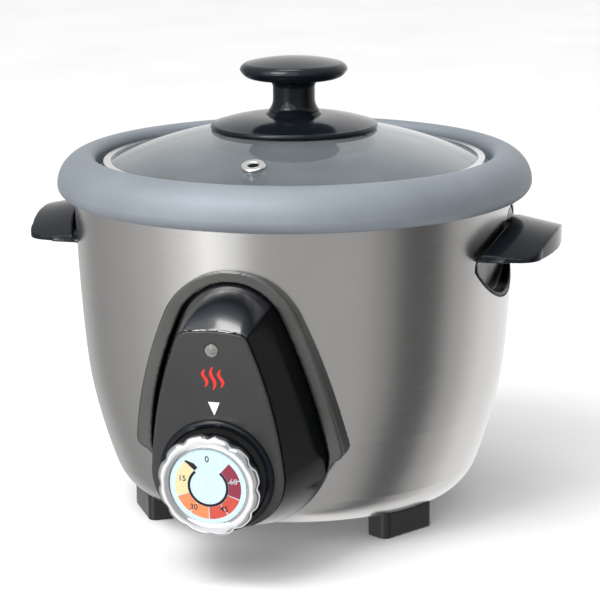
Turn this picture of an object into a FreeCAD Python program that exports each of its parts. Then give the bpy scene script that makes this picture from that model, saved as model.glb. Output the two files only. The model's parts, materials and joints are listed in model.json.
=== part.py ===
"""Electric rice cooker with a lift-off glass lid, a lift-out pot and a timer dial.

Millimetres, +Z up. The origin is on the pot's axis, in the plane of the feet's soles. The
control panel faces -Y and the two handles lie along X. Every size is read from the sheet
"Dims", and the parts are tied to its cells by expressions.
"""

import FreeCAD, Part
import math
import os

import Sketcher

os.makedirs("parts", exist_ok=True)
doc = FreeCAD.newDocument("rice_cooker")
Vector = FreeCAD.Vector
X_AXIS, Y_AXIS, Z_AXIS = Vector(1, 0, 0), Vector(0, 1, 0), Vector(0, 0, 1)

# ---------------------------------------------------------------- driving dimensions
DIMENSIONS = {
    # brushed steel shell, from its bottom edge up to its mouth
    "shell_wall": 0.8, "sole_z": 14.5, "sole_radius": 88.5, "heel_z": 27.0, "heel_radius": 97.5,
    "hip_z": 60.0, "hip_radius": 107.4, "waist_z": 90.0, "waist_radius": 112.2,
    "mouth_z": 172.0, "mouth_radius": 116.5,
    "sole_bend": 28.6, "heel_bend": 282.0, "hip_bend": 212.0, "flank_bend": 1176.0,
    "sole_flange": 9.0,
    # pot with its wide rolled rim
    "pot_wall": 1.6, "pot_floor_z": 58.0, "pot_floor_radius": 82.0, "pot_heel_z": 72.0,
    "pot_heel_radius": 97.2, "pot_corner": 16.0, "pot_top_z": 180.0, "pot_top_radius": 100.6,
    "rim_radius": 125.3, "rim_bend": 15.8, "rim_sheet": 1.8, "rim_z": 176.5,
    "rim_inner_radius": 104.9, "rim_inner_bend": 4.6, "rim_hem_radius": 118.0,
    "rim_hem_bend": 6.0, "lid_seat_z": 182.6,
    # glass lid
    "lid_radius": 101.3, "glass_thickness": 4.0, "glass_edge_z": 187.5, "glass_top_z": 207.0,
    "band_sheet": 0.5, "band_lip": 4.3,
    "vent_distance": 75.5, "vent_bore": 2.6, "vent_tube": 4.2, "vent_flange": 6.4,
    "vent_tilt": 17.5,
    # lid knob
    "knob_base_radius": 44.2, "knob_base_edge": 3.2, "stem_foot_z": 213.0, "stem_foot_radius": 15.0,
    "stem_radius": 11.1, "knob_radius": 28.4, "knob_equator_z": 234.7, "knob_under_z": 229.4,
    "knob_top_z": 241.0, "lid_screw_radius": 2.4,
    # heat shield round the pot
    "liner_wall": 0.6, "liner_radius": 102.8, "liner_shoulder_z": 58.0, "liner_floor_z": 36.0,
    "liner_floor_radius": 92.0, "liner_opening": 30.0,
    # heater and pot sensor
    "heater_radius": 76.0, "heater_foot_distance": 68.0, "heater_bore": 19.0,
    "heater_top_z": 57.8, "heater_bottom_z": 45.0, "standoff_radius": 4.0,
    "element_radius": 55.0, "element_tube": 4.0, "element_sweep": 330.0,
    "terminal_radius": 3.0, "terminal_length": 13.0, "terminal_angle": 15.0,
    "bushing_wall": 1.8, "bushing_height": 5.0,
    "sensor_radius": 17.5, "sensor_stem": 4.0, "sensor_cap_thickness": 3.4, "sensor_floor_z": 30.0,
    "sensor_foot_z": 26.0, "sensor_flange": 34.0,
    "spring_radius": 8.0, "spring_wire": 1.1, "spring_turns": 6.0,
    "switch_length": 26.0, "switch_width": 12.0, "switch_height": 6.5,
    "fuse_radius": 2.2, "fuse_length": 16.0, "fuse_x": -32.0, "fuse_y": -8.0,
    # bottom cover and feet
    "cover_radius": 86.5, "cover_sheet": 1.0, "foot_radius": 86.6, "foot_depth": 15.0,
    "foot_width": 36.0, "foot_angle": 58.0, "foot_corner": 4.0, "foot_screw_z": 6.0,
    "pillar_distance": 62.0, "pillar_radius": 5.0, "cover_screw_distance": 83.5,
    "slot_half": 1.6, "slot_inner": 28.0, "slot_outer": 52.0, "slot_count": 14.0,
    # side handles
    "grip_root": 118.2, "grip_root_half": 44.0, "grip_side_x": 128.5, "grip_side_half": 41.0,
    "grip_tip_x": 138.2, "grip_tip_half": 29.0, "grip_tip_bend": 130.0, "grip_corner": 12.0,
    "grip_under_z": 145.0, "grip_crest_z": 163.5, "grip_screw_y": 28.0, "grip_screw_z": 148.0,
    "grip_crown": 80.0, "grip_slope": 11.0, "grip_back": 104.0, "grip_floor": 3.0,
    "escutcheon_half": 44.5, "escutcheon_low_z": 140.0, "escutcheon_bend": 58.5,
    "escutcheon_side_z": 143.5, "neck_half": 10.0, "neck_z": 159.5, "neck_bend": 10.5,
    "neck_reach": 122.0, "pocket_half": 41.0, "pocket_bend": 55.0, "strap_sheet": 1.0,
    "strap_half": 47.5, "strap_height": 8.0,
    # control panel
    "panel_half": 54.0, "panel_wide_z": 60.0, "panel_shoulder_half": 34.0,
    "panel_shoulder_z": 130.0, "panel_top_bend": 38.0, "panel_side_bend": 280.0,
    "panel_front": 118.8, "panel_front_bend": 254.0, "panel_front_z": 135.0,
    "housing_half": 45.8, "housing_wide_z": 58.0, "housing_shoulder_half": 25.4,
    "housing_shoulder_z": 130.0, "housing_top_bend": 28.6, "housing_side_bend": 220.0,
    "housing_low_half": 16.0, "housing_low_z": 18.0, "housing_low_bend": 46.0,
    "ramp_half": 9.0, "ramp_top_z": 144.1, "housing_wall": 2.4,
    "housing_offset": 96.5, "housing_lean": 7.8,
    "panel_screw_low_x": 35.0, "panel_screw_low_z": 70.0, "panel_screw_high_x": 16.0,
    "panel_screw_high_z": 130.0, "window_half": 20.0, "window_low_z": 24.0,
    "window_high_z": 80.0, "boss_radius": 4.0,
    "face_half": 33.8, "face_wide_z": 56.0, "face_shoulder_half": 18.0, "face_shoulder_z": 124.0,
    "face_top_half": 14.5, "face_top_z": 127.5, "face_low_half": 8.0, "face_low_z": 28.0,
    "face_low_bend": 27.0, "face_side_bend": 220.0, "face_shoulder_bend": 5.0,
    "face_top_bend": 80.0, "face_offset": 138.8, "face_lean": 5.0, "face_sheet": 1.6,
    "lamp_z": 119.0, "lamp_hole": 3.25, "lens_radius": 3.2, "lens_rise": 1.2,
    "lamp_tube": 2.6, "lamp_length": 15.0,
    # timer and its dial, measured along the dial's axis from the panel's face
    "dial_z": 55.0, "dial_radius": 25.8, "dial_front": 15.6, "dial_ring_inner": 19.2,
    "dial_gap": 3.2, "dial_lobes": 12.0, "lobe_distance": 32.3, "lobe_radius": 7.6,
    "collar_radius": 29.0, "collar_rise": 2.4, "shaft_radius": 3.0, "shaft_fit": 0.05,
    "timer_side": 44.0, "timer_depth": 26.0, "timer_neck": 5.0, "timer_reach": 13.0,
    "bracket_width": 48.0, "bracket_low": -13.0, "bracket_high": 17.0, "bracket_sheet": 1.2,
    # power inlet at the back
    "inlet_z": 31.0, "inlet_width": 48.0, "inlet_height": 26.0, "inlet_back": 116.0,
    "socket_width": 24.5, "socket_height": 17.5, "socket_depth": 17.0,
    "inlet_flange": 7.0, "inlet_overlap": 2.3, "inlet_screw_x": 26.0, "inlet_screw_y": 92.6,
    "pin_width": 4.0, "pin_height": 2.0, "pin_tail": 5.5,
    # fasteners
    "screw_shank": 1.5, "screw_head": 2.7, "screw_rise": 1.8, "screw_fit": 0.05,
    "recess_length": 3.2, "recess_width": 0.7, "recess_depth": 1.1,
    "wire_radius": 1.2, "overlap": 0.1,
}


class Size:
    """A number that remembers the sheet expression it comes from."""

    def __init__(self, value, text):
        self.value = float(value)
        self.text = text

    def __add__(self, other):
        other = as_size(other)
        return Size(self.value + other.value, f"({self.text} + {other.text})")

    def __sub__(self, other):
        other = as_size(other)
        return Size(self.value - other.value, f"({self.text} - {other.text})")

    def __mul__(self, other):
        other = as_size(other)
        return Size(self.value * other.value, f"({self.text} * {other.text})")

    def __truediv__(self, other):
        other = as_size(other)
        return Size(self.value / other.value, f"({self.text} / {other.text})")

    def __radd__(self, other):
        return as_size(other) + self

    def __rsub__(self, other):
        return as_size(other) - self

    def __rmul__(self, other):
        return as_size(other) * self

    def __rtruediv__(self, other):
        return as_size(other) / self

    def __neg__(self):
        return 0 - self


def as_size(number):
    return number if isinstance(number, Size) else Size(number, f"({float(number)})")


def sine(angle):
    angle = as_size(angle)
    return Size(math.sin(math.radians(angle.value)), f"sin({angle.text})")


def cosine(angle):
    angle = as_size(angle)
    return Size(math.cos(math.radians(angle.value)), f"cos({angle.text})")


def root(size):
    return Size(math.sqrt(size.value), f"sqrt({size.text})")


class DimensionSheet:
    """The spreadsheet: one alias to a row, read back as attributes that are Sizes."""

    def __init__(self, name, rows):
        self.name = name
        self.rows = rows
        cells = doc.addObject("Spreadsheet::Sheet", name)
        for row, (alias, value) in enumerate(rows.items(), 1):
            cells.set(f"A{row}", alias)
            cells.set(f"B{row}", str(value))
            cells.setAlias(f"B{row}", alias)
        doc.recompute()

    def __getattr__(self, alias):
        return Size(self.rows[alias], f"{self.name}.{alias}")


d = DimensionSheet("Dims", DIMENSIONS)
nodes = []


# ---------------------------------------------------------------- modelling helpers
def bind(thing, prop, size):
    """Tie a property to the sheet."""
    thing.setExpression(prop, as_size(size).text)


def place(thing, x=0, y=0, z=0, axis=Z_AXIS, turn=0):
    """Give an object its Placement, with every coordinate tied to the sheet."""
    turn = as_size(turn)
    spot = Vector(as_size(x).value, as_size(y).value, as_size(z).value)
    thing.Placement = FreeCAD.Placement(spot, FreeCAD.Rotation(axis, turn.value))
    for letter, size in zip("xyz", (x, y, z)):
        bind(thing, f".Placement.Base.{letter}", size)
    if turn.value:
        bind(thing, ".Placement.Rotation.Angle", turn)
    return thing


def sub_part(thing, label):
    """Register an object as a finished piece; its label names its file."""
    thing.Label = label
    if thing.Label != label:
        raise ValueError(f"the label {label} is taken")
    nodes.append(thing)
    return thing


def new_body(name):
    return doc.addObject("PartDesign::Body", name)


def new_sketch(body, name, plane, lift=0, lean=0):
    """A sketch on one of the body's origin planes, lifted along its normal and leaned about X."""
    sketch = body.newObject("Sketcher::SketchObject", name)
    origin_plane = next(p for p in body.Origin.OriginFeatures if p.Role == plane)
    sketch.AttachmentSupport = [(origin_plane, "")]
    sketch.MapMode = "FlatFace"
    lift, lean = as_size(lift), as_size(lean)
    turn = FreeCAD.Rotation(X_AXIS, lean.value)
    sketch.AttachmentOffset = FreeCAD.Placement(Vector(0, 0, lift.value), turn)
    bind(sketch, ".AttachmentOffset.Base.z", lift)
    if lean.value:
        bind(sketch, ".AttachmentOffset.Rotation.Angle", lean)
    return sketch


def tie(sketch, name, constraint, size):
    """Add a driving constraint and bind it to the sheet."""
    sketch.addConstraint(constraint)
    sketch.renameConstraint(sketch.ConstraintCount - 1, name)
    bind(sketch, f"Constraints.{name}", size)


def tie_point(sketch, name, geometry, end, x, y):
    """Fix a point of a sketch by its two coordinates."""
    for kind, letter, size, axis in (("DistanceX", "x", x, -2), ("DistanceY", "y", y, -1)):
        size = as_size(size)
        if abs(size.value) < 1e-9:
            sketch.addConstraint(Sketcher.Constraint("PointOnObject", geometry, end, axis))
        else:
            rule = Sketcher.Constraint(kind, -1, 1, geometry, end, size.value)
            tie(sketch, f"{name}_{letter}", rule, size)


def draw_outline(sketch, corners):
    """Draw a closed outline. A corner is (x, y) or (x, y, bend).

    A bend turns the side that starts at that corner into an arc of that radius: counter-
    clockwise when positive, clockwise when negative.
    """
    count = len(corners)
    ends = []
    for index, corner in enumerate(corners):
        target = corners[(index + 1) % count]
        start = Vector(as_size(corner[0]).value, as_size(corner[1]).value, 0)
        stop = Vector(as_size(target[0]).value, as_size(target[1]).value, 0)
        if len(corner) == 2:
            sketch.addGeometry(Part.LineSegment(start, stop))
            ends.append((1, 2))
            continue
        bend = as_size(corner[2]).value
        chord = stop - start
        rise = math.sqrt(bend * bend - chord.Length ** 2 / 4)
        side = Vector(-chord.y, chord.x, 0).normalize() * math.copysign(rise, bend)
        centre = (start + stop) / 2 + side
        first, last = (start, stop) if bend > 0 else (stop, start)
        angles = [math.atan2(p.y - centre.y, p.x - centre.x) for p in (first, last)]
        circle = Part.Circle(centre, Z_AXIS, abs(bend))
        sketch.addGeometry(Part.ArcOfCircle(circle, angles[0], angles[1]))
        ends.append((1, 2) if bend > 0 else (2, 1))
    for index, corner in enumerate(corners):
        follower = (index + 1) % count
        join = (index, ends[index][1], follower, ends[follower][0])
        sketch.addConstraint(Sketcher.Constraint("Coincident", *join))
        tie_point(sketch, f"p{index}", index, ends[index][0], corner[0], corner[1])
        if len(corner) == 3:
            bend = as_size(corner[2])
            size = bend if bend.value > 0 else -bend
            tie(sketch, f"r{index}", Sketcher.Constraint("Radius", index, size.value), size)


def draw_circle(sketch, x, y, radius):
    radius = as_size(radius)
    centre = Vector(as_size(x).value, as_size(y).value, 0)
    index = sketch.addGeometry(Part.Circle(centre, Z_AXIS, radius.value))
    tie(sketch, f"r{index}", Sketcher.Constraint("Radius", index, radius.value), radius)
    tie_point(sketch, f"c{index}", index, 3, x, y)


def turned(name, corners):
    """A body turned about Z from an outline of (radius, height) corners."""
    body = new_body(name)
    sketch = new_sketch(body, name + "_outline", "XZ_Plane")
    draw_outline(sketch, corners)
    turn = body.newObject("PartDesign::Revolution", name + "_turn")
    turn.Profile = sketch
    turn.ReferenceAxis = (sketch, ["V_Axis"])
    turn.Angle = 360
    return body


def slab(name, plane, corners, depth, lift=0, both_ways=False):
    """A body padded from an outline drawn on an origin plane."""
    body = new_body(name)
    sketch = new_sketch(body, name + "_outline", plane, lift)
    draw_outline(sketch, corners)
    pad = body.newObject("PartDesign::Pad", name + "_pad")
    pad.Profile = sketch
    bind(pad, "Length", depth)
    pad.Midplane = both_ways
    return body


def pocket_pattern(body, name, draw, depth, count, lift=0):
    """Cut what draw() sketches through the body, repeated round Z; it must remove material."""
    before = body_volume(body)
    sketch = new_sketch(body, name + "_outline", "XY_Plane", lift)
    draw(sketch)
    pocket = body.newObject("PartDesign::Pocket", name + "_pocket")
    pocket.Profile = sketch
    bind(pocket, "Length", depth)
    pocket.Midplane = True
    pattern = body.newObject("PartDesign::PolarPattern", name + "_pattern")
    pattern.Originals = [pocket]
    pattern.Axis = (sketch, ["N_Axis"])
    pattern.Angle = 360
    bind(pattern, "Occurrences", count)
    body.Tip = pattern
    if body_volume(body) >= before:
        raise ValueError(f"{name} cuts nothing")


def body_volume(body):
    doc.recompute()
    return body.Shape.Volume


def cylinder(name, radius, height, **spot):
    rod = doc.addObject("Part::Cylinder", name)
    bind(rod, "Radius", radius)
    bind(rod, "Height", height)
    return place(rod, **spot)


def block(name, length, width, height, **spot):
    box = doc.addObject("Part::Box", name)
    for prop, size in (("Length", length), ("Width", width), ("Height", height)):
        bind(box, prop, size)
    return place(box, **spot)


def cut(name, base, tools):
    """Take the tools away from the base."""
    result = doc.addObject("Part::Cut", name)
    result.Base = base
    result.Tool = tools[0] if len(tools) == 1 else fuse(name + "_tools", tools)
    return result


def fuse(name, shapes):
    result = doc.addObject("Part::MultiFuse", name)
    result.Shapes = shapes
    return result


def common(name, shapes):
    result = doc.addObject("Part::MultiCommon", name)
    result.Shapes = shapes
    return result


def group(name, shapes):
    """Separate solids kept together in one node."""
    result = doc.addObject("Part::Compound", name)
    result.Links = shapes
    return result


def screw(name, length, spot):
    """A cross-head screw; its head's seat is at the spot and its shank runs along local +Z."""
    head = cylinder(name + "_head", d.screw_head, d.screw_rise, z=-d.screw_rise)
    shank = cylinder(name + "_shank", d.screw_shank, length)
    long, narrow = d.recess_length, d.recess_width
    low = -d.screw_rise - d.overlap
    depth = d.recess_depth + d.overlap
    cross = [block(name + "_slot_x", long, narrow, depth, x=-long / 2, y=-narrow / 2, z=low),
             block(name + "_slot_y", narrow, long, depth, x=-narrow / 2, y=-long / 2, z=low)]
    return place(cut(name, fuse(name + "_blank", [head, shank]), cross), **spot)


def screw_set(label, length, spots):
    """A node of identical screws and the drills that clear their shanks."""
    screws = [screw(f"{label}_{i}", length, spot) for i, spot in enumerate(spots)]
    sub_part(group(label, screws), label)
    drills = []
    for index, spot in enumerate(spots):
        shank = cylinder(f"{label}_bit_{index}", d.screw_shank + d.screw_fit,
                         length + 2 * d.overlap, z=-d.overlap)
        drills.append(place(group(f"{label}_drill_{index}", [shank]), **spot))
    return drills


def polar(distance, angle):
    """X and Y of a point; the angle is counted from -Y towards +X."""
    return {"x": distance * sine(angle), "y": -(distance * cosine(angle))}


def mirrored_outline(half, bottom=None, top=None):
    """Close a half outline, given upwards on the +X side, by its mirror image.

    Each corner's bend belongs to the side above it; bottom and top are the bends of the two
    sides that cross the middle.
    """
    bends = [corner[2] if len(corner) > 2 else None for corner in half[:-1]]
    right = [((x, y), bend) for (x, y, *_), bend in zip(half, bends + [top])]
    left = [((-as_size(x), y), bend) for (x, y, *_), bend in zip(half[::-1], bends[::-1] + [bottom])]
    return [point if bend is None else (*point, bend) for point, bend in right + left]


def square_outline(left, right, low, high, bend):
    """A rectangle with rounded corners."""
    return [
        (left + bend, low), (right - bend, low, bend),
        (right, low + bend), (right, high - bend, bend),
        (right - bend, high), (left + bend, high, bend),
        (left, high - bend), (left, low + bend, bend),
    ]


# ---------------------------------------------------------------- shell and bottom
def shell_side(grow=0):
    """The shell's outer side, from its bottom edge to its mouth."""
    return [
        (d.sole_radius + grow, d.sole_z, d.sole_bend + grow),
        (d.heel_radius + grow, d.heel_z, d.heel_bend + grow),
        (d.hip_radius + grow, d.hip_z, d.hip_bend + grow),
        (d.waist_radius + grow, d.waist_z, d.flank_bend + grow),
        (d.mouth_radius + grow, d.mouth_z),
    ]


def shell_bulk(name, grow):
    """The solid space inside the shell's outer surface, grown or shrunk by a little."""
    return turned(name, [(0, d.sole_z)] + shell_side(grow) + [(0, d.mouth_z)])


def shell_sheet():
    outer = shell_side()
    inner = [
        (d.mouth_radius - d.shell_wall, d.mouth_z, -(d.flank_bend - d.shell_wall)),
        (d.waist_radius - d.shell_wall, d.waist_z, -(d.hip_bend - d.shell_wall)),
        (d.hip_radius - d.shell_wall, d.hip_z, -(d.heel_bend - d.shell_wall)),
        (d.heel_radius - d.shell_wall, d.heel_z, -(d.sole_bend - d.shell_wall)),
        (d.sole_radius - d.shell_wall, d.sole_z + d.shell_wall),
        (d.sole_radius - d.sole_flange, d.sole_z + d.shell_wall),
        (d.sole_radius - d.sole_flange, d.sole_z),
    ]
    return turned("shell_sheet", outer + inner)


def escutcheon(name, start, stop, grow=0):
    """The handle's base plate seen along X, an arch with a narrow neck on top, padded along X."""
    half = [
        (d.escutcheon_half + grow, d.escutcheon_low_z),
        (d.escutcheon_half + grow, d.escutcheon_side_z, 7),
        (d.escutcheon_half + grow - 6, d.escutcheon_side_z + 5.2 + grow),
        (d.neck_half + grow + 10, d.neck_z - 8.7 + grow, -11),
        (d.neck_half + grow, d.neck_z + grow),
    ]
    outline = mirrored_outline(half, d.escutcheon_bend + grow, d.neck_bend + grow)
    return slab(name, "YZ_Plane", outline, stop - start, lift=start)


def grip_crown(name):
    """The sloping cylinder whose upper side is the crowned top of a grip."""
    lead = 6.0
    tilt = d.grip_slope
    crest_x = d.grip_back - lead
    crest_z = d.grip_crest_z + lead * sine(tilt) / cosine(tilt)
    x = crest_x - d.grip_crown * sine(tilt)
    z = crest_z - d.grip_crown * cosine(tilt)
    return cylinder(name, d.grip_crown, 70, x=x, z=z, axis=Y_AXIS, turn=90 + tilt)


def grip_plan(name):
    """The grip seen from above, padded upwards from its underside."""
    root_x = root(d.grip_root * d.grip_root - d.grip_root_half * d.grip_root_half)
    outline = [
        (root_x, -d.grip_root_half),
        (d.grip_side_x, -d.grip_side_half, d.grip_corner),
        (d.grip_tip_x, -d.grip_tip_half, d.grip_tip_bend),
        (d.grip_tip_x, d.grip_tip_half, d.grip_corner),
        (d.grip_side_x, d.grip_side_half),
        (root_x, d.grip_root_half, -d.grip_root),
    ]
    return slab(name, "XY_Plane", outline, 22, lift=d.grip_under_z)


def handle_screw_spots(turn):
    """Where the handle's two screws sit, on the inner face of its strap."""
    seat_x = d.grip_back - d.strap_sheet
    spots = []
    for y in (-d.grip_screw_y, d.grip_screw_y):
        spots.append({"x": seat_x, "y": y, "z": d.grip_screw_z, "axis": Y_AXIS, "turn": 90})
    if turn:
        spots = [{**spot, "x": -seat_x, "turn": -90} for spot in spots]
    return spots


def make_handle(side, turn):
    """One black moulded handle: base plate let into the shell, finger pocket, crowned grip."""
    name = side + "_handle"
    plate = common(name + "_plate", [
        escutcheon(name + "_escutcheon", d.grip_back, d.neck_reach),
        shell_bulk(name + "_bulk", -0.4),
    ])
    neck_box = block(name + "_neck_box", 40, 100, 40, x=d.grip_back, y=-50, z=d.grip_under_z)
    neck = common(name + "_neck", [
        escutcheon(name + "_neck_arch", d.grip_back, d.neck_reach), neck_box,
        grip_crown(name + "_neck_crown"),
    ])
    wing = common(name + "_wing", [grip_plan(name + "_plan"), grip_crown(name + "_crown")])
    pocket_outline = mirrored_outline([
        (d.pocket_half, d.escutcheon_low_z), (d.pocket_half, d.grip_under_z)], d.pocket_bend)
    scoop = slab(name + "_scoop", "YZ_Plane", pocket_outline, 20, lift=d.grip_back + d.grip_floor)
    solid = fuse(name + "_solid", [plate, neck, wing])
    drills = []
    for index, spot in enumerate(handle_screw_spots(0)):
        bit = cylinder(f"{name}_bit_{index}", d.screw_shank + d.screw_fit, 12.1, **spot)
        drills.append(bit)
    handle = cut(name, solid, [scoop] + drills)
    return sub_part(place(handle, turn=turn), name)


def make_strap(side, turn):
    """The steel strap inside the shell that the handle is screwed to."""
    name = side + "_handle_strap"
    x = d.grip_back - d.strap_sheet
    strap = block(name + "_sheet", d.strap_sheet, 2 * d.strap_half, d.strap_height,
                  x=x, y=-d.strap_half, z=d.grip_screw_z - d.strap_height / 2)
    drills = []
    for index, spot in enumerate(handle_screw_spots(0)):
        bit = cylinder(f"{name}_bit_{index}", d.screw_shank + d.screw_fit, 4, **spot)
        drills.append(bit)
    return sub_part(place(cut(name, strap, drills), turn=turn), name)


SIDES = {"right": 0, "left": 180}


def make_handles():
    for side, turn in SIDES.items():
        make_handle(side, turn)
        make_strap(side, turn)
    spots = [spot for turn in SIDES.values() for spot in handle_screw_spots(turn)]
    screw_set("handle_screws", 12, spots)


# ---------------------------------------------------------------- fastening points
def panel_screw_spots():
    """Four screws from inside the shell into the panel housing's bosses."""
    spots = []
    low = (d.panel_screw_low_x, d.panel_screw_low_z, d.hip_radius - 0.8)
    high = (d.panel_screw_high_x, d.panel_screw_high_z, d.waist_radius + 1.4)
    for half, z, radius in (low, high):
        for x in (-half, half):
            y = -root(radius * radius - half * half)
            spots.append({"x": x, "y": y, "z": z, "axis": X_AXIS, "turn": 90})
    return spots


def inlet_screw_spots():
    """Two screws from inside the shell into the power inlet's hood."""
    return [{"x": x, "y": d.inlet_screw_y, "z": d.inlet_z, "axis": X_AXIS, "turn": -90}
            for x in (-d.inlet_screw_x, d.inlet_screw_x)]


def cover_screw_spots():
    """Three screws into the shell's bottom flange and three into the pillars."""
    seat = d.sole_z - d.cover_sheet
    rim = [{**polar(d.cover_screw_distance, angle), "z": seat} for angle in (0, 119, 241)]
    pillars = [{**polar(d.pillar_distance, angle), "z": seat} for angle in (0, 120, 240)]
    return rim + pillars


def foot_angles():
    return {"foot_front_right": d.foot_angle, "foot_front_left": -d.foot_angle, "foot_rear": 180}


def foot_screw_spots():
    middle = d.foot_radius - d.foot_depth / 2
    return [{**polar(middle, angle), "z": d.foot_screw_z} for angle in foot_angles().values()]


def heater_spots():
    """Three places where the heater stands on the heat shield's floor."""
    return [polar(d.heater_foot_distance, angle) for angle in (60, 180, 300)]


# ---------------------------------------------------------------- shell, cover, feet
def make_shell(drills):
    """The deep-drawn outer shell with its openings for handles, panel and inlet."""
    window = block("panel_window", 2 * d.window_half, 40, d.window_high_z - d.window_low_z,
                   x=-d.window_half, y=-125, z=d.window_low_z)
    width = d.inlet_width - 2 * d.inlet_overlap
    height = d.inlet_height - 2 * d.inlet_overlap
    inlet_window = block("inlet_window", width, 40, height,
                         x=-width / 2, y=80, z=d.inlet_z - height / 2)
    tools = [window, inlet_window] + drills
    for side, turn in SIDES.items():
        arch = escutcheon(side + "_handle_hole", 95, 125, 0.2)
        tools.append(place(arch, turn=turn))
    sub_part(cut("outer_shell", shell_sheet(), tools), "outer_shell")


def make_cover(drills):
    """The bottom cover with its ring of cooling slots."""
    low = d.sole_z - d.cover_sheet
    cover = turned("cover_sheet_body", [
        (0, low), (d.cover_radius, low), (d.cover_radius, d.sole_z), (0, d.sole_z)])
    slot = square_outline(-d.slot_half, d.slot_half, d.slot_inner, d.slot_outer,
                          d.slot_half - d.overlap)
    pocket_pattern(cover, "cover_slots", lambda sketch: draw_outline(sketch, slot),
                   4 * d.cover_sheet, d.slot_count, low)
    sub_part(cut("base_cover", cover, drills), "base_cover")


def make_feet():
    """Three moulded feet; the front pair stands either side of the panel."""
    for name, angle in foot_angles().items():
        half = d.foot_width / 2
        outline = square_outline(-half, half, -d.foot_radius, -(d.foot_radius - d.foot_depth),
                                 d.foot_corner)
        foot = slab(name + "_block", "XY_Plane", outline, d.sole_z - d.cover_sheet)
        middle = d.foot_radius - d.foot_depth / 2
        recess = cylinder(name + "_recess", d.screw_head + 0.6, d.foot_screw_z + d.overlap,
                          y=-middle, z=-d.overlap)
        bore = cylinder(name + "_bore", d.screw_shank + d.screw_fit, d.sole_z, y=-middle)
        sub_part(place(cut(name, foot, [recess, bore]), turn=angle), name)


def make_pillars(drills):
    """Spacers between the bottom cover and the heat shield's floor."""
    height = d.liner_floor_z - d.sole_z
    pillars = []
    for index, angle in enumerate((0, 120, 240)):
        post = cylinder(f"pillar_{index}", d.pillar_radius, height,
                        **polar(d.pillar_distance, angle), z=d.sole_z)
        pillars.append(cut(f"pillar_{index}_tapped", post, [drills[index]]))
    sub_part(group("base_pillars", pillars), "base_pillars")


# ---------------------------------------------------------------- heat shield and heater
def make_liner(drills):
    """The thin heat shield; its top flange lies on the shell's mouth."""
    wall = d.liner_wall
    floor = d.liner_floor_z
    lip = d.mouth_radius - 0.2
    sheet = turned("liner_sheet", [
        (d.liner_opening, floor), (d.liner_floor_radius - 4, floor, 6),
        (d.liner_floor_radius + 0.6, floor + 4), (d.liner_radius, d.liner_shoulder_z),
        (d.liner_radius, d.mouth_z), (lip, d.mouth_z), (lip, d.mouth_z + wall),
        (d.liner_radius - wall, d.mouth_z + wall), (d.liner_radius - wall, d.liner_shoulder_z),
        (d.liner_floor_radius, floor + 4.2, -5.4),
        (d.liner_floor_radius - 4.2, floor + wall), (d.liner_opening, floor + wall)])
    holes = []
    for index, angle in enumerate(terminal_angles()):
        holes.append(cylinder(f"liner_hole_{index}", d.terminal_radius + 2, 4,
                              **polar(d.element_radius, angle), z=floor - 1))
    sub_part(cut("heat_shield", sheet, holes + drills), "heat_shield")


def terminal_angles():
    return (180 - d.terminal_angle, 180 + d.terminal_angle)


def make_heater():
    """Cast aluminium plate, its tubular element, terminals and the screws that hold it."""
    low, high = d.heater_bottom_z, d.heater_top_z
    plate = turned("heater_casting", [
        (d.heater_bore, low), (d.heater_radius - 3, low), (d.heater_radius, low + 3),
        (d.heater_radius, high - 1.5), (d.heater_radius - 1.5, high),
        (d.heater_bore + 1, high), (d.heater_bore, high - 1)])
    spots = [{**spot, "z": d.liner_floor_z} for spot in heater_spots()]
    drills = screw_set("heater_screws", 14, spots)
    sub_part(cut("heater_plate", plate, drills), "heater_plate")
    standoffs = []
    for index, spot in enumerate(heater_spots()):
        post = cylinder(f"standoff_{index}", d.standoff_radius,
                        low - d.liner_floor_z - d.liner_wall,
                        **spot, z=d.liner_floor_z + d.liner_wall)
        standoffs.append(cut(f"standoff_{index}_bored", post, [drills[index]]))
    sub_part(group("heater_standoffs", standoffs), "heater_standoffs")
    element = doc.addObject("Part::Torus", "heater_element")
    bind(element, "Radius1", d.element_radius)
    bind(element, "Radius2", d.element_tube)
    bind(element, "Angle3", d.element_sweep)
    element_z = low - d.element_tube
    sub_part(place(element, z=element_z, turn=105), "heater_element")
    studs, bushings = [], []
    for index, angle in enumerate(terminal_angles()):
        spot = polar(d.element_radius, angle)
        foot = element_z - d.element_tube
        studs.append(cylinder(f"stud_{index}", d.terminal_radius, d.terminal_length, **spot,
                              z=foot - d.terminal_length))
        outer, low_edge = d.terminal_radius + d.bushing_wall, foot - d.bushing_height
        ring = turned(f"bushing_{index}", [
            (d.terminal_radius, low_edge), (outer, low_edge), (outer, foot),
            (d.terminal_radius, foot)])
        bushings.append(place(ring, **spot))
    sub_part(group("heater_terminals", studs), "heater_terminals")
    sub_part(group("terminal_bushings", bushings), "terminal_bushings")
    return drills


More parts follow.
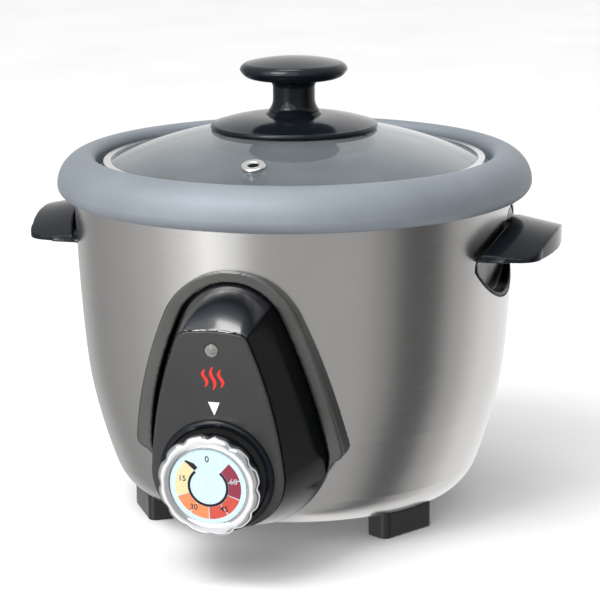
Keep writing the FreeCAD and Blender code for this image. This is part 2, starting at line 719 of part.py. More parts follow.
def make_sensor():
    """The sprung pot sensor in the middle of the heater, its guide, spring and switch."""
    floor = d.sensor_floor_z
    ledge = d.liner_floor_z + d.liner_wall
    wall = d.heater_bore - 0.4
    guide = d.sensor_stem + 0.06
    sub_part(turned("sensor_housing", [
        (guide, floor), (wall + 0.8, floor), (wall + 0.8, ledge), (d.sensor_flange, ledge),
        (d.sensor_flange, ledge + 0.8),
        (wall, ledge + 0.8), (wall, floor + 1), (guide, floor + 1)]), "sensor_housing")
    top, radius = d.heater_top_z - 0.1, d.sensor_radius
    disc = top - d.sensor_cap_thickness
    sub_part(turned("sensor_cap", [
        (0, d.sensor_foot_z), (d.sensor_stem, d.sensor_foot_z), (d.sensor_stem, disc),
        (radius - 1, disc), (radius - 1, disc - 6), (radius, disc - 6), (radius, top - 1),
        (radius - 1, top), (0, top)]), "sensor_cap")
    spring = new_body("sensor_spring")
    wire = new_sketch(spring, "spring_section", "XZ_Plane")
    low = floor + 1 + d.spring_wire / 2
    draw_circle(wire, d.spring_radius, low, d.spring_wire / 2)
    coil = spring.newObject("PartDesign::AdditiveHelix", "spring_coil")
    coil.Profile = wire
    coil.ReferenceAxis = (wire, ["V_Axis"])
    coil.Mode = "height-turns-angle"
    bind(coil, "Height", disc - low - d.spring_wire / 2)
    bind(coil, "Turns", d.spring_turns)
    sub_part(spring, "sensor_spring")
    length, width, height = d.switch_length, d.switch_width, d.switch_height
    case = block("switch_case", length, width, height, x=-length / 2, y=-width / 2, z=d.sole_z)
    button = cylinder("switch_button", 1.6, 1.8, z=d.sole_z + height)
    sub_part(fuse("thermostat_switch", [case, button]), "thermostat_switch")
    fuse_z = d.heater_bottom_z - d.fuse_radius
    sub_part(cylinder("thermal_fuse", d.fuse_radius, d.fuse_length, x=d.fuse_x, y=d.fuse_y,
                      z=fuse_z, axis=X_AXIS, turn=-90), "thermal_fuse")


# ---------------------------------------------------------------- pot
def make_pot():
    """The drawn pot: its wall turns out into a lid seat and a wide rim rolled down outside."""
    sheet, wall, z = d.rim_sheet, d.pot_wall, d.rim_z
    crest = d.rim_radius - d.rim_bend
    inside = d.rim_inner_radius + sheet
    under = d.rim_bend - sheet
    neck = crest - inside
    hem = d.rim_hem_radius
    sub_part(turned("inner_pot", [
        (0, d.pot_floor_z), (d.pot_floor_radius, d.pot_floor_z, d.pot_corner),
        (d.pot_heel_radius, d.pot_heel_z), (d.pot_top_radius, d.pot_top_z - 1),
        (inside, d.pot_top_z + 0.6), (inside, z + under - neck, -neck),
        (crest, z + under, -under), (d.rim_radius - sheet, z, -(d.rim_hem_bend - 1.2)),
        (hem + 0.9, z - 4.4), (hem, z - 4.2), (hem, z - 5.4),
        (hem + 1.2, z - d.rim_hem_bend, d.rim_hem_bend + 0.2),
        (d.rim_radius, z, d.rim_bend), (crest, z + d.rim_bend, d.rim_inner_bend + 0.1),
        (d.rim_inner_radius, z + d.rim_bend - d.rim_inner_bend),
        (d.rim_inner_radius, d.lid_seat_z), (d.pot_top_radius, d.lid_seat_z - 0.2, 1.8),
        (d.pot_top_radius - wall, d.pot_top_z),
        (d.pot_heel_radius - wall, d.pot_heel_z, -(d.pot_corner - wall)),
        (d.pot_floor_radius, d.pot_floor_z + wall), (0, d.pot_floor_z + wall)]), "inner_pot")


# ---------------------------------------------------------------- lid
def dome_bend(radius, rise):
    """Radius of the sphere whose cap has this radius and rise."""
    return (radius * radius + rise * rise) / (2 * rise)


def make_lid():
    """Tempered glass dome, its steel band, steam vent and the knob that is screwed through it."""
    rim = d.lid_radius - d.band_sheet - 0.2
    thick, top, edge = d.glass_thickness, d.glass_top_z, d.glass_edge_z
    lip = d.lid_radius - d.band_lip
    bend = dome_bend(lip, top - edge)
    under_lip, under_edge = lip - 0.5, edge - thick + 0.3
    under_bend = dome_bend(under_lip, top - thick - under_edge)
    dome = turned("glass_dome", [
        (0, top - thick, -under_bend), (under_lip, under_edge),
        (rim, under_edge), (rim, edge), (lip, edge, bend), (0, top)])
    vent_z = root(bend * bend - d.vent_distance * d.vent_distance) - (bend - top)
    vent_spot = {"y": -d.vent_distance, "z": vent_z, "axis": X_AXIS, "turn": d.vent_tilt}
    vent_hole = cylinder("vent_hole", d.vent_tube, 12, z=-8)
    vent_drill = place(group("vent_drill", [vent_hole]), **vent_spot)
    screw_hole = cylinder("lid_screw_hole", d.lid_screw_radius, 12, z=top - 8)
    sub_part(cut("lid_glass", dome, [vent_drill, screw_hole]), "lid_glass")

    sheet, outer = d.band_sheet, d.lid_radius
    low = d.lid_seat_z + 0.1
    high = edge + 0.1 + sheet
    sub_part(turned("lid_band", [
        (lip + 0.6, low), (outer - 0.8, low, 0.8), (outer, low + 0.8), (outer, high - 0.8, 0.8),
        (outer - 0.8, high), (lip, high), (lip, high - sheet), (outer - sheet, high - sheet),
        (outer - sheet, low + sheet), (lip + 0.6, low + sheet)]), "lid_band")

    tube, flange = d.vent_tube, d.vent_flange
    grommet = turned("vent_grommet", [
        (d.vent_bore, -thick - 1.3), (tube, -thick - 1.3), (flange - 0.6, -thick - 1.3),
        (flange - 0.6, -thick - 0.5), (tube, -thick - 0.5), (tube, 0.12), (flange, 0.12),
        (flange, 0.6, 0.8), (flange - 0.8, 1.3), (d.vent_bore + 0.8, 1.3, 0.8),
        (d.vent_bore, 0.6)])
    sub_part(place(grommet, **vent_spot), "vent_grommet")
    make_lid_knob(top, thick, bend)


def make_lid_knob(top, thick, bend):
    """The round knob, its wide base on the glass, and the screw that holds them."""
    base, edge = d.knob_base_radius, d.knob_base_edge
    drop = base * base / (2 * bend)
    bore = d.lid_screw_radius
    foot_radius, foot_z = d.stem_foot_radius, d.stem_foot_z
    sub_part(turned("knob_base", [
        (bore, top + 0.05, -(bend + 0.05)), (base - 1.2, top - drop + 0.25, 1.4),
        (base, top - drop + 1.4), (base, top - drop + edge - 1.4, 1.6),
        (base - 1.6, top - drop + edge, 90), (foot_radius, foot_z - 2.0),
        (foot_radius - 2, foot_z), (bore, foot_z)]), "knob_base")
    stem, radius, equator = d.stem_radius, d.knob_radius, d.knob_equator_z
    under = d.knob_under_z
    crown, shoulder = radius - 3.6, equator + 3.4
    crown_bend = dome_bend(crown, d.knob_top_z - shoulder)
    sub_part(turned("lid_knob", [
        (0, foot_z + 14), (bore, foot_z + 14), (bore, foot_z), (stem + 2.4, foot_z, -9),
        (stem, foot_z + 6), (stem, under - 4, -5), (stem + 2, under - 0.6),
        (radius - 5, under + 0.8, 7), (radius, equator, 4.6), (crown, shoulder, crown_bend),
        (0, d.knob_top_z)]), "lid_knob")
    low = top - thick
    gasket = low - 1.2
    sub_part(turned("knob_gasket", [
        (bore, gasket), (9, gasket), (9, low - 0.2), (bore, low - 0.05)]), "knob_gasket")
    sub_part(turned("knob_washer", [
        (bore, gasket - 1), (8, gasket - 1), (8, gasket), (bore, gasket)]), "knob_washer")
    head = gasket - 1
    sub_part(turned("knob_screw", [
        (0, head - 2.6), (3.4, head - 2.6, 1.2), (4.6, head - 1.6), (4.6, head), (bore, head),
        (bore, foot_z + 13), (0, foot_z + 13)]), "knob_screw")


# ---------------------------------------------------------------- control panel
def housing_outline(inset, lean):
    """The housing's arch at the frame; heights are measured along the leaning plane."""
    along = 1 / cosine(lean)
    half = [
        (d.housing_low_half, (d.housing_low_z + inset) * along, d.housing_low_bend - inset),
        (d.housing_half - inset, d.housing_wide_z * along, d.housing_side_bend - inset),
        (d.housing_shoulder_half - inset, d.housing_shoulder_z * along,
         d.housing_top_bend - inset),
        (d.ramp_half, (d.ramp_top_z - inset) * along)]
    return mirrored_outline(half, None, d.housing_top_bend - inset)


def face_outline(inset, lean):
    """The teardrop face of the panel."""
    along = 1 / cosine(lean)
    half = [
        (d.face_low_half, (d.face_low_z + inset) * along, d.face_low_bend - inset),
        (d.face_half - inset, d.face_wide_z * along, d.face_side_bend - inset),
        (d.face_shoulder_half - inset, d.face_shoulder_z * along, d.face_shoulder_bend),
        (d.face_top_half - inset, (d.face_top_z - inset) * along)]
    return mirrored_outline(half, None, d.face_top_bend)


def housing_bulk(name, inset):
    """The housing's outer or inner form: a straight stem, then a loft to the leaning face."""
    body = new_body(name)
    stem = new_sketch(body, name + "_stem", "XZ_Plane", 86)
    draw_outline(stem, housing_outline(inset, 0))
    waist = new_sketch(body, name + "_waist", "XZ_Plane", d.housing_offset, d.housing_lean)
    draw_outline(waist, housing_outline(inset, d.housing_lean))
    front = d.face_offset - (d.face_sheet + inset) / cosine(d.face_lean)
    face = new_sketch(body, name + "_face", "XZ_Plane", front, d.face_lean)
    draw_outline(face, face_outline(inset, d.face_lean))
    loft = body.newObject("PartDesign::AdditiveLoft", name + "_loft")
    loft.Profile = stem
    loft.Sections = [waist, face]
    loft.Ruled = True
    return body


def on_face(height):
    """Placement of a piece whose local +Z points out of the panel's face at a given height."""
    slope = sine(d.face_lean) / cosine(d.face_lean)
    return {"y": -(d.face_offset + height * slope), "z": height, "axis": X_AXIS,
            "turn": 90 + d.face_lean}


def make_panel(drills):
    """Arch frame, hollow housing and the flat face let into its front."""
    frame_arch = slab("frame_arch", "XZ_Plane", mirrored_outline([
        (d.panel_half - 14, d.panel_wide_z - 20), (d.panel_half - 5, d.panel_wide_z - 6, 7),
        (d.panel_half, d.panel_wide_z, d.panel_side_bend),
        (d.panel_shoulder_half, d.panel_shoulder_z)], None, d.panel_top_bend), 42, lift=82)
    low_z = 36.0
    fall = d.panel_front_z - low_z
    low_y = d.panel_front - (d.panel_front_bend - root(
        d.panel_front_bend * d.panel_front_bend - fall * fall))
    side_view = slab("frame_side_view", "YZ_Plane", [
        (-76, low_z), (-76, 160), (-d.panel_front, 160),
        (-d.panel_front, d.panel_front_z, d.panel_front_bend), (-low_y, low_z)],
        130, both_ways=True)
    opening = slab("frame_opening", "XZ_Plane", housing_outline(-0.15, 0), 60, lift=74)
    frame = common("frame_blank", [frame_arch, side_view])
    sub_part(cut("panel_frame", frame, [opening, shell_bulk("frame_bulk", 0.05)]), "panel_frame")

    outer = housing_bulk("housing_outer", as_size(0))
    hollow = cut("housing_hollow", outer, [housing_bulk("housing_inner", d.housing_wall)])
    bosses = []
    for index, spot in enumerate(panel_screw_spots()):
        bosses.append(cylinder(f"boss_{index}", d.boss_radius, 22, **spot))
    kept = common("housing_bosses", [
        housing_bulk("housing_boss_limit", as_size(0.5)), fuse("boss_set", bosses)])
    walls = fuse("housing_walls", [hollow, kept])
    depth = d.face_sheet + d.housing_wall + 2
    neck_bit = cylinder("neck_bit", d.timer_neck + 0.4, depth, z=-depth)
    neck = place(group("neck_hole", [neck_bit]), **on_face(d.dial_z))
    lamp_bit = cylinder("lamp_bit", d.lamp_hole, depth, z=-depth)
    lamp = place(group("lamp_hole", [lamp_bit]), **on_face(d.lamp_z))
    sub_part(cut("panel_housing", walls,
                 [shell_bulk("housing_bulk_cut", 0.05), neck, lamp] + drills), "panel_housing")

    face = new_body("face_sheet")
    behind = d.face_offset - d.face_sheet / cosine(d.face_lean)
    outline = new_sketch(face, "face_sheet_outline", "XZ_Plane", behind, d.face_lean)
    draw_outline(outline, face_outline(as_size(0.25), d.face_lean))
    for height, radius in ((d.dial_z, d.timer_neck + 0.4), (d.lamp_z, d.lamp_hole)):
        middle = (height + d.face_sheet * sine(d.face_lean)) / cosine(d.face_lean)
        draw_circle(outline, 0, middle, radius)
    pad = face.newObject("PartDesign::Pad", "face_sheet_pad")
    pad.Profile = outline
    bind(pad, "Length", d.face_sheet)
    sub_part(face, "panel_face")

    back = d.face_sheet + d.housing_wall + 1.2
    lens = turned("indicator_lens", [
        (0, -back), (d.lens_radius, -back),
        (d.lens_radius, 0.4, dome_bend(d.lens_radius, d.lens_rise)), (0, 0.4 + d.lens_rise)])
    sub_part(place(lens, **on_face(d.lamp_z)), "indicator_lens")
    tube, foot = d.lamp_tube, -back - d.lamp_length
    lamp_tube = turned("indicator_lamp", [
        (0, foot), (tube, foot), (tube, -back - 0.2 - tube, tube),
        (0, -back - 0.2)])
    sub_part(place(lamp_tube, **on_face(d.lamp_z)), "indicator_lamp")


def make_timer():
    """Clockwork timer behind the face, its bracket, and the dial on its shaft."""
    spot = on_face(d.dial_z)
    wall = d.face_sheet + d.housing_wall
    sheet = d.bracket_sheet
    half = d.timer_side / 2
    bore = d.shaft_radius + d.shaft_fit
    plate = block("bracket_plate", d.bracket_width, d.bracket_high - d.bracket_low, sheet,
                  x=-d.bracket_width / 2, y=d.bracket_low, z=-wall - sheet)
    hole = cylinder("bracket_hole", d.timer_neck, 10, z=-wall - 5)
    sub_part(place(cut("timer_bracket", plate, [hole]), **spot), "timer_bracket")
    case = slab("timer_box", "XY_Plane", square_outline(-half, half, -half, half, as_size(5)),
                d.timer_depth, lift=-wall - sheet - d.timer_depth)
    neck = cylinder("timer_neck", d.timer_neck, wall + sheet - 0.4, z=-wall - sheet)
    shaft_bore = cylinder("timer_bore", bore, 40, z=-wall - sheet - d.timer_reach - 1)
    sub_part(place(cut("timer_case", fuse("timer_body", [case, neck]), [shaft_bore]), **spot),
             "timer_case")
    tabs = [block(f"tab_{i}", 5, 0.8, 7, x=x, y=-8, z=-wall - sheet - d.timer_depth - 7)
            for i, x in enumerate((-14, -2.5, 9))]
    sub_part(place(group("timer_terminals", tabs), **spot), "timer_terminals")

    rise, outer = d.collar_rise, d.collar_radius
    collar = turned("dial_collar", [
        (outer - 3.6, 0), (outer, 0), (outer, 0.9, 1.8), (outer - 1.4, rise),
        (outer - 2.8, rise), (outer - 3.6, 1.6)])
    sub_part(place(collar, **spot), "dial_collar")

    gap, front, inner = d.dial_gap, d.dial_front, d.dial_ring_inner
    shoulder = 9.0
    seat = front - 1.4
    skirt = inner + 4.4
    hub = turned("dial_hub", [
        (d.shaft_radius, gap), (skirt - 1, gap), (skirt, gap + 1), (skirt, shoulder),
        (inner, shoulder), (inner, seat), (0, seat), (0, seat - 2.2), (d.shaft_radius, seat - 2.2)])
    sub_part(place(hub, **spot), "dial_hub")
    edge = d.dial_radius
    ring = turned("dial_ring", [
        (inner, shoulder), (edge - 1.2, shoulder), (edge, shoulder + 1.2),
        (edge, front - 3.2, 3.4), (edge - 3.2, front), (inner + 1.4, front),
        (inner, front - 0.9)])
    pocket_pattern(ring, "dial_lobes",
                   lambda sketch: draw_circle(sketch, 0, d.lobe_distance, d.lobe_radius),
                   20, d.dial_lobes, shoulder)
    sub_part(place(ring, **spot), "dial_ring")
    label = turned("dial_label", [
        (0, seat), (inner, seat), (inner, seat + 0.5), (0, seat + 0.5)])
    sub_part(place(label, **spot), "dial_label")
    tail = wall + sheet + d.timer_reach
    shaft = cylinder("shaft_rod", d.shaft_radius, seat - 2.2 + tail, z=-tail)
    sub_part(place(group("timer_shaft", [shaft]), **spot), "timer_shaft")


# ---------------------------------------------------------------- electrics
def make_inlet(drills):
    """The power inlet's hood on the back of the shell, with a three-pin socket."""
    z, back = d.inlet_z, d.inlet_back
    width, height = d.inlet_width, d.inlet_height
    hood_half = width / 2 + d.inlet_flange
    outline = square_outline(-hood_half, hood_half, z - height / 2, z + height / 2, as_size(4))
    hood = slab("inlet_hood", "XZ_Plane", outline, back - 88, lift=-back)
    outside = cut("inlet_outside", hood, [shell_bulk("inlet_bulk", 0.05)])
    inner_width, inner_height = width - 5, height - 5
    depth = d.socket_depth
    throat = block("inlet_throat", inner_width, depth + 2.5, inner_height,
                   x=-inner_width / 2, y=back - depth - 2.5, z=z - inner_height / 2)
    socket = block("inlet_socket", d.socket_width, depth + 1, d.socket_height,
                   x=-d.socket_width / 2, y=back - depth, z=z - d.socket_height / 2)
    pins, pin_holes = [], []
    for index, (x, rise) in enumerate(((-7, -2), (7, -2), (0, 3))):
        spot = {"x": x - d.pin_width / 2, "y": back - depth - d.pin_tail,
                "z": z + rise - d.pin_height / 2}
        sides = (d.pin_width, depth + 3.5, d.pin_height)
        pins.append(block(f"pin_{index}", *sides, **spot))
        pin_holes.append(block(f"pin_hole_{index}", *sides, **spot))
    sub_part(group("inlet_pins", pins), "inlet_pins")
    body = fuse("inlet_body", [outside, throat])
    sub_part(cut("power_inlet", body, [socket] + pin_holes + drills), "power_inlet")
    sub_part(block("terminal_block", 30, 13, 12, x=-15, y=64, z=d.sole_z), "terminal_block")


def wire(label, points):
    """An insulated wire: straight runs joined by arcs that touch both runs."""
    points = [Vector(*point) for point in points]
    edges, start = [], points[0]
    for before, corner, after in zip(points, points[1:], points[2:]):
        back, ahead = (before - corner), (after - corner)
        half_turn = (math.pi - back.getAngle(ahead)) / 2
        reach = 0.45 * min(back.Length, ahead.Length)
        back.normalize()
        ahead.normalize()
        radius = reach / math.tan(half_turn)
        middle = (back + ahead).normalize() * (radius / math.cos(half_turn) - radius)
        entry, leave = corner + back * reach, corner + ahead * reach
        edges.append(Part.LineSegment(start, entry).toShape())
        edges.append(Part.Arc(entry, corner + middle, leave).toShape())
        start = leave
    edges.append(Part.LineSegment(start, points[-1]).toShape())
    path = Part.Wire(edges)
    direction = points[1] - points[0]
    ring = Part.Wire(Part.makeCircle(d.wire_radius.value, points[0], direction))
    lead = doc.addObject("Part::Feature", label)
    lead.Shape = path.makePipeShell([ring], True, False)
    lead.Placement = FreeCAD.Placement()
    sub_part(lead, label)


def make_wires():
    """The leads from the inlet to the terminal block, and on to the heater and the timer."""
    pin_y = (d.inlet_back - d.socket_depth - d.pin_tail).value
    block_back, block_front = 77.0, 64.0
    for label, side in (("wire_live", -1), ("wire_neutral", 1)):
        wire(label, [(7 * side, pin_y, 29), (7 * side, 88, 29), (8 * side, 83, 20),
                     (8 * side, block_back, 20)])
    heater_z = (d.heater_bottom_z - 2 * d.element_tube - d.terminal_length).value
    stud = polar(d.element_radius, terminal_angles()[0])
    stud_x, stud_y = stud["x"].value, stud["y"].value
    wire("wire_heater", [(10, block_front, 20), (10, 58, 20), (stud_x, stud_y, 19),
                         (stud_x, stud_y, heater_z)])
    wire("wire_timer", [
        (-10, block_front, 20), (-10, 56, 20), (-34, 34, 19), (-44, 0, 18.5), (-38, -36, 19),
        (-24, -64, 20), (-14, -84, 24), (-12, -98, 32), (-11.5, -103, 46)])


# ---------------------------------------------------------------- build
def build_model():
    cover_drills = screw_set("base_screws", 7, cover_screw_spots())
    foot_drills = screw_set("foot_screws", 10, foot_screw_spots())
    panel_drills = screw_set("panel_screws", 12, panel_screw_spots())
    inlet_drills = screw_set("inlet_screws", 12, inlet_screw_spots())
    make_shell(cover_drills[:3] + foot_drills + panel_drills + inlet_drills)
    make_cover(cover_drills + foot_drills)
    make_feet()
    make_pillars(cover_drills[3:])
    heater_drills = make_heater()
    make_liner(heater_drills)
    make_sensor()
    make_pot()
    make_lid()
    make_handles()
    make_panel(panel_drills)
    make_timer()
    make_inlet(inlet_drills)
    make_wires()
    doc.recompute()


def check_model():
    """Stop before anything is written if a feature failed or a piece isn't sound."""
    faults = [f"{thing.Name} {thing.State}" for thing in doc.Objects
              if "Invalid" in thing.State or "Error" in thing.State]
    for thing in nodes:
        shape = thing.Shape
        if shape.isNull() or not shape.isValid() or shape.Volume <= 0:
            faults.append(f"{thing.Label} has no sound shape")
        elif not shape.Solids:
            faults.append(f"{thing.Label} has no solid")
    if faults:
        raise RuntimeError("; ".join(faults))


def export_nodes():
    for thing in nodes:
        thing.Shape.exportStep(f"parts/{thing.Label}.step")
        print(f"{thing.Label:22s} solids {len(thing.Shape.Solids):2d} "
              f"volume {thing.Shape.Volume:10.0f}")
    print(len(nodes), "nodes")


build_model()
check_model()
export_nodes()
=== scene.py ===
"""The looks of an electric rice cooker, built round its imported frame.

Metres, +Z up; the panel faces -Y. Places and sizes are read from the frame's nodes and joints.
Only the printed marks and the lights have sizes of their own, named where they are made.
"""

import json
import math

import bpy
from mathutils import Matrix, Vector


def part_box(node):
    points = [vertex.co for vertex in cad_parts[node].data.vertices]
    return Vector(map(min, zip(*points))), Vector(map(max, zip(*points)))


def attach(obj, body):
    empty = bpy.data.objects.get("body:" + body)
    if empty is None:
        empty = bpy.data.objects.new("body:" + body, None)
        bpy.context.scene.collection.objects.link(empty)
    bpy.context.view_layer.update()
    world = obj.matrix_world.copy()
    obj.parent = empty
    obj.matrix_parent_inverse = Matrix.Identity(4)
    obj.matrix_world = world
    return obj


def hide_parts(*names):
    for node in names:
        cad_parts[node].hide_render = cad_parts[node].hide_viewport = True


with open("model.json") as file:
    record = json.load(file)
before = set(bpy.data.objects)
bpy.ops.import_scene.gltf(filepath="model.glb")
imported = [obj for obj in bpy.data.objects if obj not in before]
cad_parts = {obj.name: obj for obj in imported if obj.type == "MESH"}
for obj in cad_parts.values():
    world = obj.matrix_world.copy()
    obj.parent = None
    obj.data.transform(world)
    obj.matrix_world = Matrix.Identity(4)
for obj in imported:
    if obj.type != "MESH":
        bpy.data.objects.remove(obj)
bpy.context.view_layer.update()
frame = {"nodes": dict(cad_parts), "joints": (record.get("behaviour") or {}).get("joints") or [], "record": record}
MM = 0.001
scene = bpy.context.scene


# ---------------------------------------------------------------- node trees
class Graph:
    """A node tree, with helpers that add nodes already set and linked."""

    def __init__(self, tree):
        self.tree = tree

    def add(self, kind, inputs=None, **settings):
        """A node with its settings, its inputs linked to sockets or set to values."""
        node = self.tree.nodes.new("ShaderNode" + kind)
        for name, value in settings.items():
            setattr(node, name, value)
        for name, value in (inputs or {}).items():
            if isinstance(value, bpy.types.NodeSocket):
                self.tree.links.new(value, node.inputs[name])
            else:
                node.inputs[name].default_value = value
        return node

    def maths(self, operation, *values):
        inputs = dict(enumerate(values))
        return self.add("Math", inputs, operation=operation).outputs[0]

    def ramp(self, factor, *stops, interpolation="LINEAR"):
        """A colour ramp through (position, colour) stops."""
        node = self.add("ValToRGB", {"Fac": factor})
        node.color_ramp.interpolation = interpolation
        points = node.color_ramp.elements
        while len(points) < len(stops):
            points.new(0.5)
        for point, (position, colour) in zip(points, stops):
            point.position = position
            point.color = (*colour, 1)
        return node.outputs["Color"]

    def mix(self, factor, first, second):
        """A blend of two colours, each a socket or a value."""
        factor_in, first_in, second_in = 0, 6, 7      # the Mix node's inputs for colours
        inputs = {factor_in: factor, first_in: first, second_in: second}
        return self.add("Mix", inputs, data_type="RGBA").outputs[2]


# ---------------------------------------------------------------- materials
NOISE_LOW, NOISE_HIGH = 0.3, 0.7     # a noise texture seldom leaves this band


class Finish(Graph):
    """A procedural material: one Principled shader, with helpers that vary its sockets."""

    def __init__(self, name, **constants):
        self.material = bpy.data.materials.new(name)
        self.material.use_nodes = True
        super().__init__(self.material.node_tree)
        self.shader = self.tree.nodes["Principled BSDF"]
        for socket, value in constants.items():
            self.shader.inputs[socket.replace("_", " ")].default_value = value

    def spot(self):
        """Where the shaded point lies on its own piece, in metres."""
        return self.add("TexCoord").outputs["Object"]

    def from_axis(self):
        """The shaded point's offset from the Z axis, and the length of that offset."""
        flat = self.stretched(1, 1, 0)
        length = self.add("VectorMath", {0: flat}, operation="LENGTH").outputs["Value"]
        return flat, length

    def turned(self, around, along):
        """Coordinates on a piece turned about Z: slow round it, quick up it and out from it."""
        flat, radius = self.from_axis()
        unit = self.add("VectorMath", {0: flat}, operation="NORMALIZE")
        ring = self.add("VectorMath", {0: unit.outputs[0], "Scale": around}, operation="SCALE")
        height = self.add("SeparateXYZ", {0: self.spot()}).outputs["Z"]
        climb = self.maths("MULTIPLY", self.maths("ADD", radius, height), along)
        rise = self.add("CombineXYZ", {"Z": climb})
        return self.add("VectorMath", {0: ring.outputs[0], 1: rise.outputs[0]}).outputs[0]

    def stretched(self, x, y, z):
        """Coordinates scaled by a factor along each axis."""
        return self.add("VectorMath", {0: self.spot(), 1: (x, y, z)},
                        operation="MULTIPLY").outputs[0]

    def noise(self, scale, detail=3.0, vector=None):
        inputs = {"Vector": vector or self.spot(), "Scale": scale, "Detail": detail}
        return self.add("TexNoise", inputs).outputs["Fac"]

    def cells(self, scale, output):
        """One output of a cell texture, such as the distance from each cell's middle."""
        return self.add("TexVoronoi", {"Vector": self.spot(), "Scale": scale}).outputs[output]

    def blend(self, first, second, share):
        """Two noises added, the first with that share."""
        return self.maths("ADD", self.maths("MULTIPLY", first, share),
                          self.maths("MULTIPLY", second, 1 - share))

    def feed(self, socket, source):
        self.tree.links.new(source, self.shader.inputs[socket])
        return self

    def colour(self, factor, *stops):
        return self.feed("Base Color", self.ramp(factor, *stops))

    def two_tone(self, factor, dark, light):
        """The base colour from dark to light, over the middle part of a noise."""
        return self.colour(factor, (NOISE_LOW, dark), (NOISE_HIGH, light))

    def vary(self, socket, factor, low, high):
        """Drive a socket from low to high by the middle part of a noise."""
        spread = self.add("MapRange", {"Value": factor, "From Min": NOISE_LOW,
                                       "From Max": NOISE_HIGH, "To Min": low, "To Max": high})
        return self.feed(socket, spread.outputs[0])

    def bump(self, height, depth):
        """Relief of that depth in metres, laid over any earlier relief."""
        inputs = {"Height": height, "Distance": depth, "Strength": 1.0}
        earlier = self.shader.inputs["Normal"].links
        if earlier:
            inputs["Normal"] = earlier[0].from_socket
        return self.feed("Normal", self.add("Bump", inputs).outputs["Normal"])


def shell_steel():
    """Stainless steel with a fine satin grain round the shell."""
    finish = Finish("shell_steel", Metallic=1.0)
    lines = finish.noise(1.0, vector=finish.turned(around=12.0, along=6500))
    cloud = finish.noise(9.0, detail=2.0)
    finish.colour(finish.blend(lines, cloud, share=0.5), (0.30, (0.60, 0.59, 0.58)),
                  (0.50, (0.64, 0.63, 0.62)), (0.70, (0.68, 0.67, 0.66)))
    finish.vary("Roughness", lines, 0.20, 0.27)
    return finish.bump(lines, 0.0012 * MM)


def pot_coating():
    """Blue-grey non-stick coating; the wall's outside is left as spun aluminium."""
    finish = Finish("pot_coating")
    speckle = finish.noise(2600, detail=2.0)
    cloud = finish.noise(22)
    coat = finish.ramp(finish.blend(speckle, cloud, share=0.45), (0.32, (0.165, 0.19, 0.215)),
                       (0.5, (0.20, 0.226, 0.255)), (0.68, (0.235, 0.262, 0.295)))
    rings = finish.noise(1.0, vector=finish.turned(around=2.0, along=1500))
    bare = finish.ramp(rings, (NOISE_LOW, (0.60, 0.60, 0.61)), (NOISE_HIGH, (0.76, 0.76, 0.77)))
    outside = bare_wall(finish)
    finish.feed("Base Color", finish.mix(outside, coat, bare))
    finish.feed("Metallic", finish.add("MapRange", {"Value": outside, "To Min": 0.25,
                                                    "To Max": 1.0}).outputs[0])
    finish.vary("Roughness", cloud, 0.48, 0.58)
    return finish.bump(speckle, 0.02 * MM)


def bare_wall(finish):
    """1 on the outside of the pot's wall and floor, under the rim, and 0 elsewhere."""
    tilt_down = (0, 0, -0.05)      # added to the way out from the axis: faces out or down count
    least_facing = 0.004           # by how much a face has to look that way
    past_seat = 2.5 * MM           # how far past the lid's seat the bare wall reaches
    flat, radius = finish.from_axis()
    outward = finish.add("VectorMath", {0: flat, 1: tilt_down})
    normal = finish.add("TexCoord").outputs["Normal"]
    facing = finish.add("VectorMath", {0: outward.outputs[0], 1: normal},
                        operation="DOT_PRODUCT").outputs["Value"]
    away = finish.maths("GREATER_THAN", facing, least_facing)
    inner = finish.maths("LESS_THAN", radius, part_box("lid_band")[1].x + past_seat)
    return finish.maths("MULTIPLY", away, inner)


def see_through(finish, tint, clear, edge):
    """Let the surface show what is behind it, less so where it is seen edge on."""
    facing = finish.add("LayerWeight", {"Blend": 0.5}).outputs["Facing"]
    steep = finish.maths("POWER", facing, edge)
    share = finish.maths("MULTIPLY_ADD", steep, clear, 1 - clear)
    behind = finish.add("BsdfTransparent", {"Color": (*tint, 1)})
    surface = finish.add("MixShader", {0: share, 1: behind.outputs[0],
                                       2: finish.shader.outputs[0]})
    output = finish.tree.nodes["Material Output"]
    finish.tree.links.new(surface.outputs[0], output.inputs["Surface"])
    return finish


def lid_glass():
    """Tempered glass, a little grey, with a faint film of drying marks."""
    finish = Finish("lid_glass", Coat_Weight=1.0, Coat_Roughness=0.02)
    film = finish.noise(35, detail=5.0)
    finish.colour(film, (0.35, (0.20, 0.225, 0.24)), (0.65, (0.27, 0.295, 0.31)))
    finish.vary("Roughness", film, 0.03, 0.10)
    return see_through(finish, tint=(0.80, 0.83, 0.85), clear=0.80, edge=3.0)


def lamp_lens():
    """Clear moulded lens over the lamp."""
    finish = Finish("lamp_lens", Coat_Weight=1.0, Coat_Roughness=0.03)
    haze = finish.noise(700, detail=2.0)
    finish.two_tone(haze, (0.34, 0.34, 0.33), (0.48, 0.48, 0.46))
    finish.vary("Roughness", haze, 0.08, 0.20)
    return see_through(finish, tint=(0.9, 0.9, 0.88), clear=0.60, edge=2.0)


def turned_metal(name, dark, light, roughness, lines=1800, depth=0.004):
    """Metal with fine lines round its axis, so many to the metre and so many mm deep."""
    finish = Finish(name, Metallic=1.0)
    grooves = finish.noise(1.0, vector=finish.turned(around=2.0, along=lines))
    finish.two_tone(grooves, dark, light)
    finish.vary("Roughness", grooves, *roughness)
    return finish.bump(grooves, depth * MM)


def lid_steel():
    """Polished stainless steel of the lid's band, its eyelet and the knob's screw."""
    return turned_metal("lid_steel", dark=(0.62, 0.62, 0.62), light=(0.80, 0.80, 0.79),
                        roughness=(0.10, 0.22))


